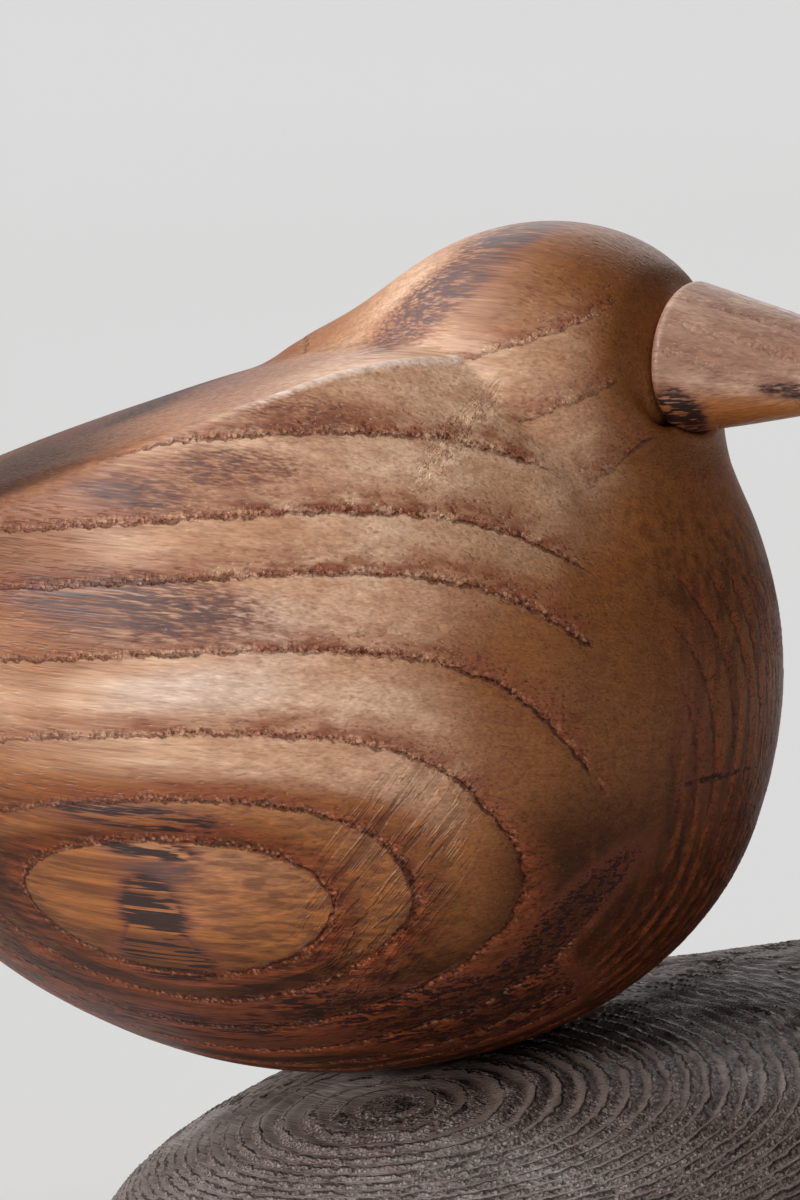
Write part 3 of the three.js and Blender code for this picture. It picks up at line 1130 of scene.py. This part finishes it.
    def crispness(self, points: Array, year: Array) -> Array:
        """How crisp the ring lines are.

        They stop at the crease, short of it high on the wing, and below the shoulder's edge. They
        are soft on the top of the back and in the smooth hollow between wing and breast.

        Args:
            points: places in mm in the bird's frame, one per row.
            year: the number of ring lines passed at each place.

        Returns:
            From 0 to 1 for each place.
        """
        front, flank, back = self.forms(points)
        x, y, z = points.T
        apart = np.maximum(flank, back) - front
        ahead = smooth(apart, 0.0, 0.5)
        hollow = 1 - 0.95 * smooth(np.abs(y), 9, 13) * smooth(z, 26, 20)
        hollow -= 0.9 * smooth(z, 18, 21) * smooth(z, 26, 23)
        head = 0.62 * smooth(x, 43, 36) * smooth(z, 23, 27) * smooth(z, 54, 50)
        in_front = np.where(z > 23, head, np.clip(hollow, 0, 1) * 0.7)
        top = smooth(back - flank, -0.8, 0.6)
        behind = (1 - 0.95 * top) * (0.6 + 0.4 * smooth(x, -34, -6))
        behind = behind * (1 - smooth(year, 6.5, 6.8) * smooth(y, 0, -8))
        behind = behind * (1 - smooth(x + 0.53 * (z - 33), 26.5, 29) * smooth(z, 12, 20))
        near_crease = smooth(np.abs(apart), 0.02, 0.2)
        return np.clip((behind * (1 - ahead) + in_front * ahead) * near_crease, 0, 1)

    def tearing(self, points: Array) -> Array:
        """Where the rasp tore the grain: low on each wing, in front of its middle.

        Args:
            points: places in mm in the bird's frame, one per row.

        Returns:
            From 0 to 1 for each place.
        """
        x, y, z = points.T
        reach = np.sqrt(((x - 14.5 - 0.5 * (z + 15)) / 8) ** 2 + ((z + 15) / 15) ** 2)
        low = (1 - smooth(reach, 0.5, 1.2)) * smooth(np.abs(y), 8, 18)
        nick = np.sqrt(((x - 20.5 - 0.4 * (z - 35)) / 2) ** 2 + ((z - 35) / 6) ** 2)
        return low + 0.5 * (1 - smooth(nick, 0.6, 1.2)) * smooth(-y, 8, 14)

    def toasting_with_painted_light(self, points: Array, year: Array) -> Array:
        """How brown the flame left the wood, with painted shade and painted highlights in the same number.

        A painted highlight makes one year's band along the near wing palest, with a pale spot ahead of
        it. The belly and the front are browner, toasted and in painted shade. The hollow between wing
        and breast, the cove behind the beak, the far end of the wing, the upper back and the crown are
        darker as painted shade, and the top of the back is browner.

        Args:
            points: places in mm in the bird's frame, one per row.
            year: the number of ring lines passed at each place.

        Returns:
            From below 0, a pale painted highlight, to above 1, dark brown.
        """
        x, y, z = points.T
        front, flank, back = self.forms(points)
        ahead = smooth(np.maximum(flank, back) - front, -1.6, 2.2)
        # Browner underneath: toasted wood, with painted shade below the body.
        belly = smooth(z, 4, -20) * (0.6 - 0.3 * ahead)
        belly += smooth(z, -20, -34) * smooth(x, 34, 18) * smooth(x, -45, 0) * 0.8
        # Browner at the front, toasted and in painted shade turned from the light; then painted shade in the
        # hollow between wing and breast.
        breast = smooth(x, 8, 38) * smooth(z, 40, 16) * 0.4 + ahead * smooth(z, 40, 26) * 0.34
        breast += smooth(x, 20, 33) * smooth(z, 24, 6) * smooth(np.abs(y), 8, 16) * (1 - ahead) * 0.22
        # Painted shade on the crown.
        head = smooth(x, 4, 28) * (smooth(z, 34, 40) * 0.14 + smooth(z, 42, 52) * 0.32)
        # Painted shade in the cove behind the beak.
        rel = points - self.seat
        away = np.hypot(np.hypot(y, rel[:, 2]) - self.seat_radius - 1.5, rel[:, 0] * 0.8)
        cove = (1 - smooth(away, 1, 7)) * (0.45 - 0.3 * smooth(z, 42, 50))
        # A painted highlight: one year's band along the near wing is laid palest.
        bare = smooth(year, 2.0, 2.5) * smooth(year, 3.0, 2.6) * smooth(x, 18, -10) * smooth(np.abs(y), 10, 20)
        bare = bare * (0.2 + 0.8 * smooth(x, -24, -14))
        cloud = (mottle(points, (22, 8, 8), 11) - 0.5) * (0.35 - 0.25 * smooth(x, 22, 34))
        near = smooth(-y, 4, 14) * (1 - ahead)
        burnt = smooth(year, -0.02, 0.03) * smooth(year, 0.7, 0.15) * smooth(x, 18, 0) * 0.4
        burnt -= smooth(year, 0, -0.05) * 0.12
        burnt += smooth(year, 0.98, 1.03) * smooth(year, 1.6, 1.1) * 0.25
        # Browner on the top of the back; painted shade on the far end of the wing, the upper back and the
        # crown.
        top = smooth(back - flank, -1, 1) * smooth(x, 10, -10) * 0.3
        top += smooth(x, -12, -32) * smooth(z, 8, 20) * 0.35
        top += smooth(x, -6, -24) * 0.28 + smooth(z, 47, 56) * 0.15 + head
        top += smooth(z, 24, 34) * smooth(x, 8, -8) * 0.16
        # A painted highlight: a pale spot on the near wing.
        top -= np.exp(-(((x - 2) / 9) ** 2) - ((z - 14) / 4.5) ** 2) * near * 0.3
        return np.clip(0.03 + belly + breast + cove + cloud + top + burnt * near - 0.5 * bare, -0.6, 1.3)


@dataclass
class TurnedBeak:
    """The beak: a turned cone with a rounded rim, scorched at its corner."""

    radius: float = 8.3
    length: float = 33
    rim: float = 1.2
    tip: float = 1.0
    swell: float = 0.25
    bore: float = 2.8
    bore_depth: float = 11.3
    around: int = 160
    steps: int = 120
    rings: GrowthRings = GrowthRings((0, 0, 0), (0.12, 0.55, 0.83), (0, 0, 0, 0, 0, 0), -20, (3.6, 3.2, 3.4))
    marks: tuple[Mark, ...] = (
        Mark(2.6, -4.6, -5.2, 3.4, 3.6, 1.25),
        Mark(16, -5, -2, 5, 1.2, 0.8),
        Mark(6, 6, 2, 6, 2.5, 0.8),
    )

    def profile(self) -> Profile:
        """Draws the cone as (along, radius) pairs from the back's middle to the tip.

        Returns:
            The pairs in mm.
        """
        slope = math.atan2(self.radius - self.tip, self.length - self.tip)
        pairs = [(0.0, 0.0)]
        pairs += [(0.0, self.radius * i / 10 - self.rim * i / 10) for i in range(1, 10)]
        for i in range(9):
            turn = i / 8 * (math.pi / 2 + slope)
            pairs.append((self.rim * (1 - math.cos(turn)), self.radius - self.rim * (1 - math.sin(turn))))
        start = pairs[-1]
        end_turn = math.pi / 2 - slope
        end = (self.length - self.tip * (1 - math.cos(end_turn)), self.tip * math.sin(end_turn))
        for i in range(1, self.steps):
            t = i / self.steps
            belly = self.swell * math.sin(math.pi * t)
            pairs.append((start[0] + (end[0] - start[0]) * t, start[1] + (end[1] - start[1]) * t + belly))
        for i in range(8):
            turn = end_turn * (1 - i / 8)
            pairs.append((self.length - self.tip * (1 - math.cos(turn)), self.tip * math.sin(turn)))
        pairs.append((self.length, 0.0))
        return pairs

    def build(self) -> bpy.types.Object:
        """Turns the cone, bores it for the dowel and notes what the finish reads.

        Returns:
            The mesh object.
        """
        low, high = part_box("beak")
        back = np.array([low.x, (low.y + high.y) / 2, (low.z + high.z) / 2]) / MM
        axis = Axis(back, np.array([1.0, 0, 0]))
        piece = turned("turned_beak", self.profile(), axis, self.around)
        bore = [(-2, 0), (-2, self.bore), (self.bore_depth, self.bore), (self.bore_depth, 0)]
        cut(piece, turned("dowel_bore", bore, axis, 40))
        points = vertices_of(piece) / MM - back
        away = np.hypot(points[:, 1], points[:, 2])
        outward = points[:, 1:] / (away + 0.01)[:, None]
        normals = np.column_stack([np.full(len(points), 0.22), outward])
        normals /= np.linalg.norm(normals, axis=1)[:, None]
        swell = (mottle(points, (9, 2.5, 2.5), 21) - 0.5) * 0.14
        skin = np.where((away > 3.2) & (points[:, 0] > 0.6), 1.0, 0.0)
        set_vertices(piece, (points + normals * (swell * skin)[:, None] + back) * MM)
        year, gap, _ = self.rings.line_distance(points, normals)
        take_notes(piece, {
            Note.RING: year,
            Note.GAP: gap,
            Note.CRISP: np.full(len(points), 0.25),
            Note.SCORCH: sum(m.darken(points) for m in self.marks),
            Note.TOAST: 0.02 + 0.75 * smooth(points[:, 2], 0, -7),
        })
        return piece


# --- Pebble --------------------------------------------------------------------------------------------


@dataclass
class PebbleStand:
    """The wooden pebble that the bird rests on."""

    length: float = 78
    width: float = 58
    height: float = 25
    yaw: float = 28.7
    tilt: float = 9.9
    flat_depth: float = 0.25
    gap: float = 0.3
    pin_bore: float = 3.3
    pin_bore_depth: float = 20.3
    around: int = 520
    along: int = 330
    groove_depth: float = 0.36
    rings: GrowthRings = GrowthRings(
        (0, 0, 0),
        (0.3027, 0.2728, -1.0),
        (0.0002, -0.002, 0, 0.0023, 0, 0),
        -36.27,
        (0.07, 0.04, 0.08, 0.15, 0.28, 0.3, 0.31, 0.32),
        1.045,
    )

    def __post_init__(self) -> None:
        """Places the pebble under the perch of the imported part."""
        turn = next(j for j in frame["joints"] if j["name"] == "bird_turn")
        up = np.array(turn["axis"]) / np.linalg.norm(turn["axis"])
        flat = np.array(turn["pos_m"]) / MM - up * self.gap / 2
        self.perch = Axis(flat, up)
        y, t = math.radians(self.yaw), math.radians(self.tilt)
        yaw = np.array([[math.cos(y), -math.sin(y), 0], [math.sin(y), math.cos(y), 0], [0, 0, 1]])
        tilt = np.array([[math.cos(t), 0, -math.sin(t)], [0, 1, 0], [math.sin(t), 0, math.cos(t)]])
        self.turn = tilt @ yaw
        self.radii = np.array([self.length, self.width, self.height])
        facing = self.turn.T @ up * self.radii
        self.middle = flat + up * self.flat_depth - self.turn @ (facing / np.linalg.norm(facing) * self.radii)

    def form(self, points: Array) -> Array:
        """The pebble with its foot and its perch flat, from places in mm in the part's frame.

        Args:
            points: places in mm in the part's frame, one per row.

        Returns:
            The distance to the surface, negative inside.
        """
        local = (points - self.middle) @ self.turn
        reach = np.linalg.norm(local / self.radii, axis=1)
        slope = np.linalg.norm(local / self.radii**2, axis=1)
        form = reach * (reach - 1) / np.maximum(slope, 1e-9)
        form = trim(form, -points[:, 2], 1.2)
        along, _ = self.perch.split(points)
        return trim(form, along, 0.3)

    def build(self) -> bpy.types.Object:
        """Builds the pebble, bores it for the pin and brushes out its grain.

        Returns:
            The mesh object.
        """
        share = np.linspace(0, math.pi, self.along + 2)[1:-1]
        angle = np.linspace(0, 2 * math.pi, self.around, endpoint=False)
        ways = [np.array([[0, 0, 1.0]])]
        for a in share:
            side = np.full(self.around, math.sin(a))
            up = np.full(self.around, math.cos(a))
            ways.append(np.stack([side * np.cos(angle), side * np.sin(angle), up], 1))
        ways.append(np.array([[0, 0, -1.0]]))
        ways = (np.concatenate(ways) * self.radii) @ self.turn.T
        ways /= np.linalg.norm(ways, axis=1)[:, None]
        points = meet(self.form, self.middle, ways, 1.2 * self.length)
        faces = [tuple(reversed(f)) for f in tube_faces(self.along, self.around)]
        piece = new_mesh("brushed_pebble", points * MM, faces)
        radius, depth = self.pin_bore, self.pin_bore_depth
        cut(piece, turned("pin_bore", [(-depth, 0), (-depth, radius), (8, radius), (8, 0)], self.perch, 48))
        self.brush(piece)
        return piece

    def brush(self, piece: bpy.types.Object) -> None:
        """Sinks the soft growth between the ring lines and notes what the finish reads.

        Args:
            piece: the pebble with its bore.
        """
        points = vertices_of(piece) / MM
        normals = normals_of(self.form, points)
        local = (points - self.middle) @ self.turn
        year, gap, off = self.rings.line_distance(local, normals @ self.turn)
        along, away = self.perch.split(points)
        plain = np.where((away < 8) & (along > -30), 0.0, 1.0) * smooth(points[:, 2], 0.1, 2.5)
        wave = np.cos((year + (mottle(points, 3, 31) - 0.5) * 0.5) * 2 * math.pi)
        fade = 1 / (1 + (gap / 0.9) ** 4)
        chatter = (mottle(points, 1.3, 33) - 0.5) * 0.3 + (mottle(points, (14, 5, 5), 35) - 0.5) * 0.5
        move = wave * self.groove_depth * fade * (0.5 + mottle(points, 5, 37))
        move += chatter * 0.6 - self.groove_depth
        set_vertices(piece, (points + normals * (move * plain)[:, None]) * MM)
        # A browner, darker middle: the wood's brown tint and the painted shadow of the bird.
        heart = np.exp(-(((local[:, 0] + 34) / 14) ** 2) - ((local[:, 1] + 29) / 7) ** 2) * 0.8
        take_notes(piece, {
            Note.RING: year,
            Note.GAP: gap,
            Note.CRISP: plain,
            Note.TOAST: mottle(points, (26, 12, 12), 39) * 0.8 + heart,
        })


# --- Studio ----------------------------------------------------------------------------------------------


def direction(azimuth: float, elevation: float) -> Array:
    """The direction towards a place round and above the object, in degrees from the bird's side."""
    a, e = math.radians(azimuth), math.radians(elevation)
    return np.array([math.sin(a) * math.cos(e), -math.cos(a) * math.cos(e), math.sin(e)])


@dataclass(frozen=True)
class Window:
    """A soft source of light, however far away: its direction and spread in degrees."""

    name: str
    azimuth: float
    elevation: float
    spread: float
    strength: float

    def hang(self) -> None:
        """Puts the light in the scene."""
        data = bpy.data.lights.new(self.name, "SUN")
        data.energy = self.strength
        data.angle = math.radians(self.spread)
        lamp = bpy.data.objects.new(self.name, data)
        lamp.rotation_euler = Vector(direction(self.azimuth, self.elevation)).to_track_quat("Z", "Y").to_euler()
        bpy.context.scene.collection.objects.link(lamp)


@dataclass
class Studio:
    """A pale floor, soft light and the camera; the floor's reach is in metres, the rest in mm."""

    azimuth: float = 32
    elevation: float = 10
    distance: float = 800
    mm_across: float = 90.8
    frame_width: float = 24
    aim_up: float = 11.35
    floor_reach: float = 12
    floor_colour: str = "#F1F1F1"
    floor_drift: str = "#EEEEED"
    room_seen: float = 0.72
    room_strength: float = 0.1
    windows: tuple[Window, ...] = (
        Window("side_window", -44, 9, 30, 2.3),
        Window("high_window", -70, 46, 60, 1.9),
        Window("far_window", -155, 30, 50, 0.9),
    )

    def camera(self, datum: Array) -> None:
        """Aims the camera from the bird's datum.

        Args:
            datum: the bird's datum in mm in the part's frame.
        """
        back = direction(self.azimuth, self.elevation)
        turn = math.radians(self.azimuth)
        up = np.cross(back, [math.cos(turn), math.sin(turn), 0])
        data = bpy.data.cameras.new("camera")
        data.sensor_width = 36
        data.lens = self.distance * self.frame_width / self.mm_across
        data.clip_end = 100
        camera = bpy.data.objects.new("camera", data)
        camera.location = Vector((datum + up * self.aim_up + back * self.distance) * MM)
        camera.rotation_euler = Vector(back).to_track_quat("Z", "Y").to_euler()
        bpy.context.scene.collection.objects.link(camera)
        bpy.context.scene.camera = camera

    def floor(self) -> None:
        """Lays the pale painted floor; matt paint shows as one soft tone that hardly drifts."""
        s = self.floor_reach
        floor = new_mesh("floor", np.array([[-s, -s, 0], [s, -s, 0], [s, s, 0], [-s, s, 0]]), [(0, 1, 2, 3)])
        sh = Shader("painted floor")
        cloud = sh.add(Kind.RANGE, sh.add(Kind.NOISE, sh.place, 1.2, 2), 0.3, 0.7)
        colour = sh.add(Kind.COAT, cloud, linear(self.floor_colour), linear(self.floor_drift))
        floor.data.materials.append(sh.dressed(colour, 0.9, None, 0.1))

    def room(self) -> None:
        """The room: dim as a light, pale where it is looked at."""
        world = bpy.data.worlds.new("room")
        world.use_nodes = True
        bpy.context.scene.world = world
        tree = world.node_tree
        ground = tree.nodes["Background"]
        path = tree.nodes.new("ShaderNodeLightPath")
        mix = tree.nodes.new("ShaderNodeMapRange")
        mix.inputs["To Min"].default_value = self.room_strength
        mix.inputs["To Max"].default_value = self.room_seen
        tree.links.new(path.outputs["Is Camera Ray"], mix.inputs["Value"])
        tree.links.new(mix.outputs[0], ground.inputs["Strength"])
        ground.inputs["Color"].default_value = (1, 1, 1, 1)

    def build(self, datum: Array) -> None:
        """Sets the scene around the bird's datum.

        Args:
            datum: the bird's datum in mm in the part's frame.
        """
        self.camera(datum)
        self.floor()
        self.room()
        for window in self.windows:
            window.hang()
        bpy.context.scene.view_settings.view_transform = "Standard"


# --- Assembly ----------------------------------------------------------------------------------------------


# Brushed, scorched and oiled softwood: a soft sheen, golden to red-brown, with burnt streaks. The
# torn chips are drawn at 0.5 mm, a little coarser than real ones, so that they show.
BIRD_WOOD = BrushedWood(
    name="scorched oiled pine",
    # bare is the colour of the painted highlights; the brown colours lay toasted wood and painted shade alike.
    bare="#F0D6C4",
    pale="#EAC09F",
    mid="#CE9A76",
    rust="#8F4828",
    toast="#97571F",
    deep="#3A1B0A",
    line="#5E2C13",
    chip="#F4D5B6",
    pore="#83502F",
    singe="#7E412B",
    scorch="#1E0C0A",
    haze="#604743",
    roughness=0.42,
)
# The same wood turned on a lathe: closer and smoother, with strands along the cone and few pores.
BEAK_WOOD = BrushedWood(
    name="scorched turned pine",
    bare="#DDB08A",
    pale="#D3AC94",
    mid="#A67C66",
    rust="#8A4E30",
    toast="#A8652C",
    deep="#5A3018",
    line="#5A3320",
    chip="#DDB08A",
    pore="#7E4A36",
    singe="#68382A",
    scorch="#150C10",
    haze="#2C1C22",
    roughness=0.4,
    pore_share=0.12,
    strand_share=0.95,
    speck_share=0.15,
)
# Deeply brushed softwood under a grey-black stain: dark and stone-like, pale along the hard ridges.
PEBBLE_WOOD = BrushedWood(
    name="grey stained pine",
    bare="#A39A96",
    pale="#AEA6A3",
    mid="#8B817E",
    rust="#70605A",
    toast="#76665E",
    deep="#4A3C36",
    line="#2A211E",
    chip="#CCC6C3",
    pore="#453A37",
    singe="#6A5850",
    scorch="#2A2422",
    haze="#4A4648",
    roughness=0.46,
    line_width=0.25,
    line_share=0.75,
    pit_share=0.45,
    # Pale chips spread over the whole pebble: stain worn from the hard ridges, and painted glints.
    chip_share=0.3,
    chip_reach=4.0,
    chip_size=0.42,
    chip_height=0.14,
    fibre_height=0.12,
    speck_share=0.6,
)
# Bare sanded beech: pale, dull and even, with fine lines along it.
BEECH = PlainFinish("bare beech dowel", "#D0A878", "#B98C5C", 0, 0.6, 0.4, 9, 0.6)
# Drawn brass: a yellow metal shine broken by fine draw lines.
BRASS = PlainFinish("drawn brass rod", "#C9A75C", "#A8823F", 1, 0.3, 0.15, 12, 0.3)


def main() -> None:
    """Builds the ornament piece by piece."""
    logging.basicConfig(level=logging.INFO, format="%(message)s")
    body = CarvedBody()
    pieces = [
        (body.build(), "bird", "bird_body", "scorched_pine", BIRD_WOOD),
        (TurnedBeak().build(), "bird", "beak", "beak_pine", BEAK_WOOD),
        (PebbleStand().build(), "stand", "pebble_stand", "grey_pine", PEBBLE_WOOD),
    ]
    for piece, rides, node, slot, finish in pieces:
        piece.data.materials.append(finish.material())
        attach(piece, rides)
        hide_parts(node)
        log.info("%s: %d faces", piece.name, len(piece.data.polygons))
    for node, finish in (("beak_dowel", BEECH), ("perch_pin", BRASS)):
        mesh = frame["nodes"][node].data
        mesh.materials.clear()
        mesh.materials.append(finish.material())
        log.info("%s: dressed", node)
    Studio().build(body.datum)


if __name__ == "__main__":
    main()
